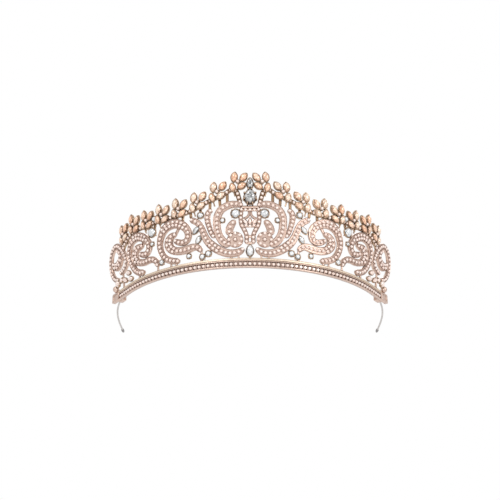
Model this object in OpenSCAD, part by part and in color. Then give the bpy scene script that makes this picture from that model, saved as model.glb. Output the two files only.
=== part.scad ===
// Bridal tiara: a jewelled band, an openwork scroll panel, leaf sprigs and plain comb wires.
// The panel is drawn unrolled: s runs along the band from its middle, h runs up the leaning
// panel, and "out" is the distance in front of the panel's back face. All in millimetres.
// Pieces are drawn for the side at +X and mirrored for the other side.

/* [Band] */
// Radius of the back of the band over its curved stretch
band_r = 75; // [70:1:80]
// Angle from the middle of the band to where its ends run straight
bend_half_angle = 58; // [54:1:60]
// Length of each straight end of the channel
end_length = 10.5; // [10:0.1:12]
// Length of the block that ends the band at each side
end_cap_l = 7.4; // [6:0.1:8]
// Height of the crystal channel
channel_h = 3.7; // [3.4:0.1:4]
// Height of the plain rail above the channel
rail_h = 1.3; // [1:0.1:1.6]
// Number of crystals in the channel
band_crystal_count = 73; // [37:2:75]
// Radius of a channel crystal
band_crystal_r = 1; // [0.8:0.05:1.05]

/* [Panel] */
// Angle that the openwork panel leans out from the band
lean = 7; // [4:1:9]
// Depth of a scroll rib from its back to its face
rib_depth = 1.4; // [1:0.1:1.8]
// Radius of a small set crystal
pave_r = 0.85; // [0.75:0.05:0.95]
// Distance between set crystals along a rib
pave_pitch = 2.2; // [2:0.05:2.6]

/* [Leaves] */
// Length of a leaf cup
leaf_l = 6.2; // [5.6:0.1:6.6]
// Width of a leaf cup
leaf_w = 4; // [3.6:0.1:4.2]
// Distance between leaf sprigs
sprig_pitch = 9.95; // [9.8:0.05:10.1]

/* [Wires] */
// Radius of the comb wire at each end
wire_r = 0.5; // [0.4:0.05:0.65]
// Radius of the sleeve on a wire's tip
sleeve_r = 0.8; // [0.75:0.05:1]

/* [Hidden] */

rose = [0.86, 0.62, 0.52];
gold = [0.90, 0.72, 0.52];
steel = [0.82, 0.80, 0.77];
pink_crystal = [0.97, 0.86, 0.83];
amber_crystal = [0.93, 0.76, 0.56];
clear_crystal = [0.93, 0.95, 0.97];

// The ring's centre lies behind the origin, so that the origin is under the middle of the whole.
ring_y = 30.5;
foot_h = channel_h + rail_h;
bend_s = band_r * bend_half_angle * PI / 180;
band_s = bend_s + end_length;
round_fn = 24;
arc_fn = 240;
face_share = 0.72; // width of a rib's flat face over the rib's width
ring_pitch = 1.6; // distance between the cross-sections of a rib
crystal_h = 0.6;

// ---------- the curved surface ----------

function turn(s) = min(max(s, -bend_s), bend_s) / band_r * 180 / PI;
function past_bend(s) = s - min(max(s, -bend_s), bend_s);
function on_panel(s, h, out = 0, tilt = lean) =
    let (a = turn(s), e = past_bend(s), r = band_r + h * sin(tilt) + out * cos(tilt))
    [
        r * sin(a) + e * cos(a),
        ring_y - r * cos(a) + e * sin(a),
        h * cos(tilt) - out * sin(tilt)
    ];

// Places its children on the panel: their x runs along s, y up the panel, z outwards.
module at_panel(s, h, out = 0, tilt = lean, spin = 0) {
    translate(on_panel(s, h, out, tilt))
        rotate([0, 0, turn(s)])
            rotate([90 + tilt, 0, 0])
                rotate([0, 0, spin])
                    children();
}

module left_or_right(side) {
    if (side == "left")
        mirror([1, 0, 0]) children();
    else
        children();
}

// ---------- curves ----------

// A smooth curve through the knots k, with n steps between each two.
function knot(k, i) = k[min(max(i, 0), len(k) - 1)];
function blend_at(k, i, t) =
    0.5 * (2 * knot(k, i)
        + (knot(k, i + 1) - knot(k, i - 1)) * t
        + (2 * knot(k, i - 1) - 5 * knot(k, i) + 4 * knot(k, i + 1) - knot(k, i + 2)) * t * t
        + (3 * knot(k, i) - knot(k, i - 1) - 3 * knot(k, i + 1) + knot(k, i + 2)) * t * t * t);
function smooth(k, n = 8) = [
    for (i = [0:len(k) - 2])
        for (j = [0:n - 1])
            blend_at(k, i, j / n),
    k[len(k) - 1]
];

// Running length at each point of the path p.
function gap(p, i) = i < len(p) - 1 ? norm([p[i + 1].x - p[i].x, p[i + 1].y - p[i].y]) : 0;
function run(p) = [for (i = 0, d = 0; i < len(p); d = d + gap(p, i), i = i + 1) d];
function step_before(c, d) = max([for (j = [0:len(c) - 2]) if (c[j] <= d + 1e-9) j]);
function point_at(p, c, d) =
    let (j = step_before(c, d))
    p[j] + (p[j + 1] - p[j]) * (d - c[j]) / (c[j + 1] - c[j]);

// The curve through the knots at even steps of about the given pitch.
function even(k, pitch, inset = 0) =
    let (p = smooth(k), c = run(p), full = c[len(c) - 1] - 2 * inset, n = max(1, round(full / pitch)))
    [for (i = [0:n]) point_at(p, c, inset + full * i / n)];

// ---------- building blocks ----------

function rib_section(w, depth) = [
    [-w / 2, 0],
    [w / 2, 0],
    [w / 2, 0.55 * depth],
    [face_share * w / 2, depth],
    [-face_share * w / 2, depth],
    [-w / 2, 0.55 * depth]
];
function across(p, i) =
    let (a = p[max(i - 1, 0)], b = p[min(i + 1, len(p) - 1)], d = [b.x - a.x, b.y - a.y])
    [-d.y, d.x] / norm(d);

// A rib along the knots k. Each knot is [s, h, width].
module rib(k, depth = rib_depth, back = 0) {
    p = even(k, ring_pitch);
    n = len(p);
    m = 6;
    points = [
        for (i = [0:n - 1])
            let (a = across(p, i))
            for (q = rib_section(p[i].z, depth))
                on_panel(p[i].x + a.x * q.x, p[i].y + a.y * q.x, back + q.y)
    ];
    walls = [
        for (i = [0:n - 2])
            for (j = [0:m - 1])
                let (a = i * m + j, b = i * m + (j + 1) % m)
                for (f = [[a, b + m, b], [a, a + m, b + m]])
                    f
    ];
    last = (n - 1) * m;
    start = [for (j = [1:m - 2]) [0, j, j + 1]];
    end = [for (j = [1:m - 2]) [last, last + j + 1, last + j]];
    polyhedron(points = points, faces = concat(walls, start, end));
}

// A round crystal: a short girdle under a sloping crown.
module round_crystal(r = pave_r, h = crystal_h) {
    rotate_extrude($fn = round_fn)
        polygon([[0, 0], [r, 0], [r, 0.35 * h], [0.6 * r, h], [0, h]]);
}

// Small crystals along the rib on the knots k: one row, or two or three where the rib is wide.
function rows(w, r) = max(1, floor((w + 0.2) / (2 * r)));
module crystal_row(k, inset = 0.9, out = rib_depth, r = pave_r, pitch = pave_pitch) {
    p = even(k, pitch, inset);
    for (i = [0:len(p) - 1])
        let (a = across(p, i), n = rows(p[i].z * face_share, r))
        for (j = [0:n - 1])
            let (q = (j - (n - 1) / 2) * 2.08 * r)
            at_panel(p[i].x + a.x * q, p[i].y + a.y * q, out)
                round_crystal(r);
}

// A disc on the panel, and small crystals around one in its middle, open towards the rib.
module boss(c) {
    at_panel(c.x, c.y)
        cylinder(r = c.z, h = rib_depth, $fn = 48);
}
module boss_crystals(c, count = 8) {
    at_panel(c.x, c.y, rib_depth) {
        round_crystal();
        for (i = [0:count - 2])
            rotate([0, 0, 360 * i / count])
                translate([c.z - pave_r - 0.15, 0, 0])
                    round_crystal();
    }
}

// A round cup with a flat floor and a low wall.
module round_cup(r, h, wall = 0.45) {
    rotate_extrude($fn = round_fn)
        polygon([
            [0, 0], [0.8 * r, 0], [r + wall, 0.6 * h], [r + wall, h], [r, h], [r, 0.6 * h], [0, 0.6 * h]
        ]);
}

// Outline of a marquise: two arcs that meet in a point at each end.
function marquise(l, w, n = 5) =
    let (r = (l * l + w * w) / (4 * w), half = asin(l / 2 / r))
    concat(
        [for (i = [0:n - 1]) let (a = -half + 2 * half * i / n) [r * cos(a) - r + w / 2, r * sin(a)]],
        [for (i = [0:n - 1]) let (a = -half + 2 * half * i / n) [r - w / 2 - r * cos(a), -r * sin(a)]]
    );
// Outline of a pear with its point at +y, or of an oval where taper is 0.
function pear(l, w, taper, n = 16) = [
    for (i = [0:n - 1])
        let (a = 360 * i / n, y = sin(a))
        [w / 2 * cos(a) * (1 - taper * max(0, y)), l / 2 * y]
];

// A cut crystal on an outline: girdle, two rows of crown facets and a table.
module cut_crystal(outline, h, girdle = 0.35) {
    n = len(outline);
    rings = [[1, 0], [1, girdle * h], [0.8, 0.75 * h], [0.5, h]];
    points = [
        for (ring = rings)
            for (p = outline)
                [p.x * ring[0], p.y * ring[0], ring[1]]
    ];
    walls = [
        for (i = [0:len(rings) - 2])
            for (j = [0:n - 1])
                let (a = i * n + j, b = i * n + (j + 1) % n)
                for (f = [[a, b + n, b], [a, a + n, b + n]])
                    f
    ];
    top = (len(rings) - 1) * n;
    bottom_cap = [for (j = [1:n - 2]) [0, j, j + 1]];
    top_cap = [for (j = [1:n - 2]) [top, top + j + 1, top + j]];
    polyhedron(points = points, faces = concat(walls, bottom_cap, top_cap));
}

// A short post from the rail up to a rib.
module foot(s, top, w = 1.3) {
    at_panel(s, foot_h - 0.1, 0.1)
        translate([-w / 2, 0, 0])
            cube([w, top - foot_h + 0.2, rib_depth - 0.4]);
}

// Runs a profile of [radius, height] points along the whole band: curve and straight ends.
module along_band(profile) {
    translate([0, ring_y, 0]) {
        rotate([0, 0, -90 - bend_half_angle])
            rotate_extrude(angle = 2 * bend_half_angle, $fn = arc_fn)
                polygon(profile);
        for (side = [0, 1])
            mirror([side, 0, 0])
                rotate([0, 0, bend_half_angle])
                    rotate([90, 0, 90])
                        linear_extrude(height = end_length)
                            polygon([for (p = profile) [-p.x, p.y]]);
    }
}

// ---------- the pattern, as knots [s, h] on the +X side ----------

heart_knots = [
    [3.4, 32.8, 2.8], [7.6, 33.5, 3.7], [10.9, 32.8, 4], [13.9, 30.9, 4], [15.7, 27.6, 4],
    [16.1, 23.6, 4], [15.8, 19.8, 4], [14.8, 16.4, 4.2], [12.6, 13.4, 4.4], [9.6, 12, 4.2]
];
heart_boss = [7.2, 14.6, 4.2];
heart_branch_knots = [[9.8, 17, 3.8], [10, 20, 4], [8.8, 22.8, 3.6], [7, 24.8, 2.6]];
horn_knots = [
    [18.2, 30.9, 2.4], [20, 30.4, 2.8], [20.8, 28, 3], [20.6, 25, 2.9], [19.9, 22, 2.7],
    [19, 19, 2.5], [17.6, 16.4, 2.2]
];
cradle_knots = [
    [2.9, 9.9, 2.4], [5.2, 8.2, 3.6], [8.1, 7.5, 4], [11, 7.7, 4.2], [13.6, 8.7, 4.4],
    [16.2, 10.2, 4.6], [18.6, 12.2, 4.6], [20.7, 14.6, 4.2], [22.2, 17.4, 3.8], [23.2, 20.2, 3.5],
    [24.2, 22.8, 3.4], [25.9, 25.4, 3.4], [29.6, 27.8, 3.2]
];
mid_knots = [
    [39, 18.4, 2.4], [36.8, 17, 3.2], [34.2, 16.2, 3.4], [32, 16.9, 3.5], [31, 19.2, 3.7],
    [31.3, 22, 4.1], [33, 24.6, 4.5], [35.8, 26.5, 4.9], [38.9, 27.4, 5.1], [42.2, 26.9, 5],
    [45.2, 25, 4.6], [47, 22, 4], [47.8, 18.8, 3.6], [47.5, 15.4, 3.5], [46.2, 12.2, 3.6],
    [43.8, 9.4, 3.7], [40.4, 7.7, 3.5], [36.4, 6.8, 3]
];
mid_curl_knots = [
    [37.6, 21.4, 2.4], [40.2, 21, 3.6], [42.1, 19, 4.6], [42.2, 16.3, 5], [40.5, 13.8, 4.6],
    [37.4, 12.3, 4.2], [34, 12, 4.2], [31, 12.3, 4.4], [28.2, 12.8, 3.8], [25.8, 12, 3.3],
    [24.4, 9.8, 3]
];
mid_stem_knots = [[38.4, 21.4, 1.8], [37.2, 23, 1.5], [36.2, 24.8, 1.8]];
side_knots = [
    [62.4, 17.6, 2.6], [60.2, 16.4, 3.3], [57.8, 15.9, 3.5], [55.8, 17.2, 3.6], [55.1, 20, 3.8],
    [56.5, 23.1, 4.2], [59.6, 25.8, 4.7], [64, 27.4, 5], [68.2, 26.5, 4.7], [70.7, 23.6, 4.1],
    [71.5, 20, 3.7], [70.8, 16.3, 3.6], [69, 12.7, 3.6], [66.2, 9.3, 3.6], [62.8, 7.3, 3.5],
    [59.6, 6.8, 3]
];
side_curl_knots = [
    [59.4, 21.2, 2.4], [62, 21.2, 3.6], [64.8, 20.6, 4.8], [66.4, 17.5, 5], [65.5, 14.8, 4.8],
    [62.8, 12.9, 4], [59.2, 11.9, 3.7], [55.6, 12, 3.6], [52.6, 11.4, 3.4], [50.6, 9.6, 3.2],
    [49.8, 7, 2.9]
];
side_stem_knots = [[60, 21, 1.8], [59.6, 23, 1.6], [59.8, 25, 1.8]];
wing_knots = [
    [84.6, 10.4, 2.6], [88.4, 11.9, 3], [91.4, 15.2, 3.3], [92.6, 19.4, 3.4], [92.3, 24, 3.4],
    [90.3, 27.8, 3.4], [86.7, 29.8, 3.4], [82.7, 29, 3.4], [79.1, 25.8, 3.3], [76.3, 21.6, 3.3],
    [74.8, 18, 3.2], [76, 15.3, 3.2], [79, 13.8, 3], [82.6, 13.4, 2.8]
];
wing_curl_knots = [
    [90, 21.6, 2.2], [88.2, 19.5, 4.2], [85.2, 18.7, 5.6], [82.1, 20.1, 5.6], [80.8, 23, 4.2],
    [82.2, 25.7, 3], [84.4, 26.8, 2.2]
];
crest_knots = [
    [0, 48], [3, 48.1], [7.4, 48.1], [13, 43.8], [17.4, 43.4], [22.9, 39.5], [27.3, 39.2],
    [32.8, 37], [37.2, 38], [42.8, 36.2], [47.2, 37.4], [52.7, 35.9], [57.1, 37.2], [62.7, 36.8],
    [67.1, 38.5], [72.6, 36.1], [77, 36.2], [84, 32]
];
leaf_rail_knots = [
    [4.6, 33.8, 2.4], [5.4, 37, 2.4], [6.4, 40.2, 2.4], [8.8, 41.4, 2.4], [11.6, 39.8, 2.4],
    [14.6, 38.2, 2.4], [18.2, 36.9, 2.4], [22.4, 35.2, 2.4], [26.6, 33.6, 2.4], [31, 32, 2.4],
    [36, 31.3, 2.4], [42, 31.1, 2.4], [50, 31.2, 2.4], [57, 31.2, 2.4], [64, 31.3, 2.4],
    [70, 30.4, 2.4], [75, 28, 2.4], [77.8, 25.4, 2.2]
];
strut_w = 1.5;
// Struts from the leaf rail down to the scrolls: [s at the rail, h there, s below, h below].
struts = [
    [10.9, 39.9, 10.9, 34], [14.7, 37.8, 14.4, 32], [19.3, 36.2, 19.6, 31],
    [24.4, 34.2, 24.3, 29.8], [29.5, 32.2, 29.4, 28.4], [33.6, 31.4, 34, 27.2], [40, 31, 40, 28.8],
    [50.3, 31, 50.8, 28.4], [64, 31, 64, 28.8], [73.4, 28.8, 71.2, 25.2]
];
column_knots = [
    [4, 31.4, 2.2], [4.3, 28.4, 2.2], [4.5, 25.4, 2.2], [4.1, 22.6, 2.3], [2.9, 20, 2.3],
    [1.8, 17.4, 2.3], [1.6, 14.8, 2.3], [1.8, 12.4, 2.2]
];
column_fork_knots = [[0.5, 30.2, 1.3], [0.5, 28, 1.3], [1.5, 26.4, 1.4], [3.6, 25.4, 1.4]];

// Round clear crystals: [s, h, radius, height of the cup].
accents = [
    [6.9, 28.3, 2.3, 1.3], [20.6, 8.2, 1.5, 1], [23.8, 6.9, 1.4, 1], [24.2, 29, 1.6, 1.1],
    [52, 26, 2.5, 1.5], [50.4, 33, 1.4, 1], [85.5, 8.5, 1.9, 1.3], [30.9, 8.3, 1.2, 1],
    [13.3, 25.1, 1.2, 1], [46.9, 8.4, 1.4, 1], [52.5, 19.8, 1.1, 1], [81.4, 9.2, 1.3, 1]
];
drop_cup_size = [5.8, 3.1];
drop_cut_size = [4.9, 2.4];
// Pointed clear crystals between the scrolls: [s, h, turn].
drops = [[26.8, 21.4, 42], [25.6, 16.2, 30], [73.6, 10.8, -70], [71.8, 6.9, -82], [77.4, 8, -60]];

sprig_count = 8;
first_sprig = 7.4;
// Leaves of one sprig: [along s, above the crest, turn, size].
sprig_leaves = [[0, -0.2, 10, 1], [-4.4, -0.4, 38, 0.98], [0.8, -5.3, -14, 0.92], [-3.5, -5.2, 58, 0.95]];
// The round crystal in the middle of a sprig: [along s, above the crest, radius].
berry = [-1.6, -2.9, 0.9];
// Height of the leaf and berry cups: their crystals stand clear of those on the rail.
leaf_cup_h = 1.5;
leaf_cup_back = 0.2;
function crest(s) =
    let (p = smooth(crest_knots), j = max([for (i = [0:len(p) - 2]) if (p[i].x <= s) i]))
    p[j].y + (p[j + 1].y - p[j].y) * (s - p[j].x) / (p[j + 1].x - p[j].x);
function leaves() = [
    for (i = [0:sprig_count - 1])
        for (f = sprig_leaves)
            let (s = first_sprig + i * sprig_pitch + f[0])
            [s, crest(s) + f[1], f[2], f[3]]
];

function berries() = [
    for (i = [0:sprig_count - 1])
        let (s = first_sprig + i * sprig_pitch + berry[0])
        [s, crest(s) + berry[1]]
];

// ---------- the band ----------

band_back = band_r - 0.6;
band_floor = band_r + 0.3;
band_lip = band_r + 1.2;
lip_h = 0.6;

module band_channel() {
    color(rose)
        along_band([
            [band_back, 0], [band_lip, 0], [band_lip, lip_h], [band_floor, lip_h],
            [band_floor, channel_h - lip_h], [band_lip, channel_h - lip_h], [band_lip, channel_h],
            [band_back, channel_h]
        ]);
}

module band_rail() {
    bevel = 0.3;
    color(gold)
        along_band([
            [band_back + 0.3, channel_h], [band_lip + 0.3, channel_h],
            [band_lip + 0.3, foot_h - bevel], [band_lip + 0.3 - bevel, foot_h],
            [band_back + 0.3, foot_h]
        ]);
}

crystal_span = 2 * (band_s - 1.6);
crystal_step = crystal_span / (band_crystal_count - 1);

module band_crystals() {
    color(pink_crystal)
        for (i = [0:band_crystal_count - 1])
            at_panel(-crystal_span / 2 + i * crystal_step, channel_h / 2, band_floor - band_r, 0)
                round_crystal(band_crystal_r, 1);
}

module band_dividers() {
    t = 0.26;
    color(rose)
        for (i = [0:band_crystal_count - 2])
            at_panel(-crystal_span / 2 + (i + 0.5) * crystal_step, lip_h, band_floor - band_r, 0)
                translate([-t / 2, 0, 0])
                    cube([t, channel_h - 2 * lip_h, 0.8]);
}

cap_depth = band_lip - band_back + 0.3;
cap_frame = 1.1;

// A block that ends the band, with a shallow window in its front.
module end_cap(side) {
    color(rose)
        left_or_right(side)
            at_panel(band_s, 0, band_back - band_r, 0)
                difference() {
                    cube([end_cap_l, foot_h, cap_depth]);
                    translate([cap_frame, cap_frame, cap_depth - 0.5])
                        cube([end_cap_l - 2 * cap_frame, foot_h - 2 * cap_frame, 1]);
                    translate([end_cap_l, foot_h, -1])
                        rotate([0, 0, 45])
                            cube([1, 1, 2 * cap_depth + 2], center = true);
                }
}

// ---------- the comb wires ----------

wire_knots = [[68.7, 0.4], [70.8, 8], [72.6, 18], [73.4, 28], [73.4, 38], [72.9, 48.4]];
sleeve_l = 4.8;

// A round bar in the plane of the band, along points [x, y].
module bar(p, r, sides = 8) {
    n = len(p);
    points = [
        for (i = [0:n - 1])
            let (a = across(p, i))
            for (j = [0:sides - 1])
                let (b = 360 * (j + 0.5) / sides, q = r / cos(180 / sides))
                [p[i].x + a.x * q * cos(b), p[i].y + a.y * q * cos(b), r + q * sin(b)]
    ];
    walls = [
        for (i = [0:n - 2])
            for (j = [0:sides - 1])
                let (a = i * sides + j, b = i * sides + (j + 1) % sides)
                for (f = [[a, b + sides, b], [a, a + sides, b + sides]])
                    f
    ];
    last = (n - 1) * sides;
    start = [for (j = [1:sides - 2]) [0, j, j + 1]];
    end = [for (j = [1:sides - 2]) [last, last + j + 1, last + j]];
    polyhedron(points = points, faces = concat(walls, start, end));
}

wire_path = even(wire_knots, 2.4);
wire_dir = wire_path[len(wire_path) - 1] - wire_path[len(wire_path) - 2];
wire_end = wire_path[len(wire_path) - 1];

module comb_wire(side) {
    color(steel)
        left_or_right(side)
            translate([0, ring_y - 31, sleeve_r - wire_r])
                bar(wire_path, wire_r);
}

module tip_sleeve(side) {
    color(steel)
        left_or_right(side)
            translate([wire_end.x, ring_y - 31 + wire_end.y, sleeve_r])
                rotate([-90, 0, -atan2(wire_dir.x, wire_dir.y)])
                    rotate_extrude($fn = round_fn)
                        polygon([[0, 0], [sleeve_r - 0.2, 0], [sleeve_r, 0.3], [sleeve_r, 0.55 * sleeve_l],
                            [0.3, sleeve_l], [0, sleeve_l]]);
}

module wire_socket(side) {
    color(rose)
        left_or_right(side)
            translate([68.9, ring_y - 31 - 0.6, 0])
                rotate([0, 0, bend_half_angle])
                    translate([0, 0.75, 0])
                        cube([4.6, 2.6, 3.4]);
}

// ---------- the scrolls ----------

module heart_scroll(side) {
    color(rose)
        left_or_right(side) {
            rib(heart_knots);
            rib(heart_branch_knots);
            boss(heart_boss);
        }
}

module heart_crystals(side) {
    color(pink_crystal)
        left_or_right(side) {
            crystal_row(heart_knots);
            crystal_row(heart_branch_knots, 1.8);
            boss_crystals(heart_boss);
        }
}

module horn(side) {
    color(rose)
        left_or_right(side)
            rib(horn_knots);
}

module cradle_scroll(side) {
    color(rose)
        left_or_right(side) {
            rib(cradle_knots);
            foot(9.2, 6.4);
            foot(5.6, 7);
        }
}

module cradle_crystals(side) {
    color(pink_crystal)
        left_or_right(side) {
            crystal_row(cradle_knots);
            crystal_row(horn_knots);
        }
}

module mid_scroll(side) {
    color(rose)
        left_or_right(side) {
            rib(mid_knots);
            foot(38.4, 6.4);
            foot(41.6, 7.2);
        }
}

module mid_curl(side) {
    color(rose)
        left_or_right(side) {
            rib(mid_curl_knots);
            rib(mid_stem_knots, 1);
            foot(24.4, 9.8);
        }
}

module mid_crystals(side) {
    color(pink_crystal)
        left_or_right(side) {
            crystal_row(mid_knots);
            crystal_row(mid_curl_knots);
        }
}

module side_scroll(side) {
    color(rose)
        left_or_right(side) {
            rib(side_knots);
            foot(64, 6.8);
        }
}

module side_curl(side) {
    color(rose)
        left_or_right(side) {
            rib(side_curl_knots);
            rib(side_stem_knots, 1);
            foot(50, 7.4);
        }
}

module side_crystals(side) {
    color(pink_crystal)
        left_or_right(side) {
            crystal_row(side_knots);
            crystal_row(side_curl_knots);
        }
}

module wing(side) {
    color(rose)
        left_or_right(side) {
            rib(wing_knots);
            rib(wing_curl_knots);
            foot(80, 14.2);
        }
}

module wing_crystals(side) {
    color(pink_crystal)
        left_or_right(side) {
            crystal_row(wing_knots);
            crystal_row(wing_curl_knots);
        }
}

module wing_knob(side) {
    knob_r = 1.8;
    color(rose)
        left_or_right(side)
            at_panel(88.9, foot_h + 1.6, 0.9)
                sphere(r = knob_r, $fn = 32);
}

// ---------- the leaf sprigs ----------

module leaf_rail(side) {
    color(gold)
        left_or_right(side) {
            rib(leaf_rail_knots, 1);
            for (k = struts)
                rib([[k[0], k[1], strut_w], [k[2], k[3], strut_w]], 0.8, 0.1);
        }
}

// Each cup stands on a stem that runs back from its point.
module leaf_cups(side) {
    stem_w = 0.9;
    stem_l = 2.8;
    stem_inside = 1;
    stem_depth = 0.8;
    berry_wall = 0.35;
    color(gold)
        left_or_right(side)
            for (f = leaves())
                at_panel(f[0], f[1], leaf_cup_back, lean, f[2]) {
                    linear_extrude(height = leaf_cup_h)
                        polygon(marquise(f[3] * leaf_l, f[3] * leaf_w));
                    translate([-stem_w / 2, stem_inside - stem_l - f[3] * leaf_l / 2, 0])
                        cube([stem_w, stem_l, stem_depth]);
                }
    color(gold)
        left_or_right(side)
            for (b = berries())
                at_panel(b[0], b[1], leaf_cup_back)
                    cylinder(r = berry[2] + berry_wall, h = leaf_cup_h, $fn = round_fn);
}

module leaf_crystals(side) {
    rim = 0.7;
    level = leaf_cup_back + leaf_cup_h;
    rail_depth = 1;
    color(amber_crystal)
        left_or_right(side)
            for (f = leaves())
                at_panel(f[0], f[1], level, lean, f[2])
                    cut_crystal(marquise(f[3] * leaf_l - 1.4 * rim, f[3] * leaf_w - rim, 4), 1);
    color(pink_crystal)
        left_or_right(side) {
            for (b = berries())
                at_panel(b[0], b[1], level)
                    round_crystal(berry[2], 0.8);
            crystal_row(leaf_rail_knots, 1, rail_depth);
        }
}

// ---------- the accent crystals ----------

module accent_cups(side) {
    color(gold)
        left_or_right(side) {
            for (a = accents)
                at_panel(a[0], a[1], 0.3)
                    round_cup(a[2], a[3]);
            for (d = drops)
                at_panel(d[0], d[1], 0.2, lean, d[2])
                    linear_extrude(height = 1)
                        polygon(marquise(drop_cup_size.x, drop_cup_size.y));
        }
}

module accent_crystals(side) {
    color(clear_crystal)
        left_or_right(side) {
            for (a = accents)
                at_panel(a[0], a[1], 0.3 + 0.6 * a[3])
                    round_crystal(a[2], 0.5 + 0.5 * a[2]);
            for (d = drops)
                at_panel(d[0], d[1], 1.2, lean, d[2])
                    cut_crystal(marquise(drop_cut_size.x, drop_cut_size.y, 4), 1);
        }
}

// ---------- the centre ----------

// Cross bars of the centre column: [h, length].
column_bars = [[31.9, 8.4], [30.3, 8.6], [21.7, 7.6], [16.2, 3.4], [12.8, 3.6]];
// Crystals on the cross bars: [s, h].
bar_crystals = [[0, 30.3], [2.1, 30.3], [0, 21.5], [1.9, 21.9]];
// Fan of leaves in the column: [s, h, turn].
fan_leaves = [[0, 24, 0], [2.3, 23.9, -38]];
fan_cup_size = [4.8, 2.3];
fan_cut_size = [4, 1.7];
bar_w = 1.6;
column_crystal_r = 0.8;
column_pitch = 2.1;
centre_h = 37.1;
centre_l = 8.8;
centre_w = 7;
// How much a pear narrows towards its point.
centre_taper = 0.3;
pear_taper = 0.25;
centre_rim = 0.9;
claw_count = 8;
top_crystal_h = 44.4;
top_cup_size = [6.8, 4.1];
top_cut_size = [6, 3.4];
drop_crystal_h = 8.6;
bottom_cup_size = [6.9, 4.5];
bottom_cut_size = [6.1, 3.8];

module centre_column() {
    color(rose) {
        for (side = [0, 1])
            mirror([side, 0, 0]) {
                rib(column_knots, 1.2);
                rib(column_fork_knots, 1);
                for (f = fan_leaves)
                    at_panel(f[0], f[1], 0.2, lean, f[2])
                        linear_extrude(height = 1)
                            polygon(marquise(fan_cup_size.x, fan_cup_size.y));
            }
        for (b = column_bars)
            at_panel(0, b[0], 0.1)
                translate([-b[1] / 2, -bar_w / 2, 0])
                    cube([b[1], bar_w, 1]);
    }
}

module column_crystals() {
    color(pink_crystal) {
        for (side = [0, 1])
            mirror([side, 0, 0]) {
                crystal_row(column_knots, 1, 1.2, column_crystal_r, column_pitch);
                for (b = bar_crystals)
                    if (side == 0 || b[0] > 0)
                        at_panel(b[0], b[1], 1.1)
                            round_crystal(column_crystal_r);
                for (f = fan_leaves)
                    if (side == 0 || f[0] > 0)
                        at_panel(f[0], f[1], 1.2, lean, f[2])
                            cut_crystal(marquise(fan_cut_size.x, fan_cut_size.y, 4), 0.8);
            }
    }
}

module centre_cup() {
    color(gold)
        at_panel(0, centre_h, 0.3)
            linear_extrude(height = 1.6)
                polygon(pear(centre_l, centre_w, centre_taper, 24));
}

// Claws around the centre crystal.
module centre_prongs() {
    color(gold)
        at_panel(0, centre_h, 0.5)
            for (i = [0:claw_count - 1])
                let (a = 360 * (i + 0.5) / claw_count)
                let (x = (centre_w / 2 + 0.1) * cos(a), y = (centre_l / 2 - 0.1) * sin(a))
                translate([x * (1 - centre_taper * max(0, sin(a))), y, 0])
                    cylinder(r = 0.45, h = 3.2, $fn = round_fn);
}

module centre_crystal() {
    color(clear_crystal)
        at_panel(0, centre_h, 1.9)
            cut_crystal(pear(centre_l - centre_rim, centre_w - centre_rim, centre_taper), 2.6);
}

module top_cup() {
    color(gold)
        at_panel(0, top_crystal_h, 0.3)
            linear_extrude(height = 1.1)
                polygon(pear(top_cup_size.x, top_cup_size.y, pear_taper, 20));
}

module top_crystal() {
    color(clear_crystal)
        at_panel(0, top_crystal_h, 1.4)
            cut_crystal(pear(top_cut_size.x, top_cut_size.y, pear_taper), 1.6);
}

module drop_cup() {
    color(gold)
        at_panel(0, drop_crystal_h, 0.3) {
            linear_extrude(height = 1)
                polygon(pear(bottom_cup_size.x, bottom_cup_size.y, pear_taper, 20));
            translate([-0.7, foot_h - 0.2 - drop_crystal_h, -0.2])
                cube([1.4, 1.4, 1]);
        }
}

module drop_crystal() {
    color(clear_crystal)
        at_panel(0, drop_crystal_h, 1.3)
            cut_crystal(pear(bottom_cut_size.x, bottom_cut_size.y, pear_taper), 1.6);
}

band_channel();
band_rail();
band_crystals();
band_dividers();
end_cap("left");  // end_cap_left
end_cap("right");  // end_cap_right
wire_socket("left");  // wire_socket_left
wire_socket("right");  // wire_socket_right
comb_wire("left");  // comb_wire_left
comb_wire("right");  // comb_wire_right
tip_sleeve("left");  // tip_sleeve_left
tip_sleeve("right");  // tip_sleeve_right
heart_scroll("left");  // heart_scroll_left
heart_scroll("right");  // heart_scroll_right
heart_crystals("left");  // heart_crystals_left
heart_crystals("right");  // heart_crystals_right
horn("left");  // horn_left
horn("right");  // horn_right
cradle_scroll("left");  // cradle_scroll_left
cradle_scroll("right");  // cradle_scroll_right
cradle_crystals("left");  // cradle_crystals_left
cradle_crystals("right");  // cradle_crystals_right
mid_scroll("left");  // mid_scroll_left
mid_scroll("right");  // mid_scroll_right
mid_curl("left");  // mid_curl_left
mid_curl("right");  // mid_curl_right
mid_crystals("left");  // mid_crystals_left
mid_crystals("right");  // mid_crystals_right
side_scroll("left");  // side_scroll_left
side_scroll("right");  // side_scroll_right
side_curl("left");  // side_curl_left
side_curl("right");  // side_curl_right
side_crystals("left");  // side_crystals_left
side_crystals("right");  // side_crystals_right
wing("left");  // wing_left
wing("right");  // wing_right
wing_crystals("left");  // wing_crystals_left
wing_crystals("right");  // wing_crystals_right
wing_knob("left");  // wing_knob_left
wing_knob("right");  // wing_knob_right
leaf_rail("left");  // leaf_rail_left
leaf_rail("right");  // leaf_rail_right
leaf_cups("left");  // leaf_cups_left
leaf_cups("right");  // leaf_cups_right
leaf_crystals("left");  // leaf_crystals_left
leaf_crystals("right");  // leaf_crystals_right
accent_cups("left");  // accent_cups_left
accent_cups("right");  // accent_cups_right
accent_crystals("left");  // accent_crystals_left
accent_crystals("right");  // accent_crystals_right
centre_column();
column_crystals();
centre_cup();
centre_prongs();
centre_crystal();
top_cup();
top_crystal();
drop_cup();
drop_crystal();
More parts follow.
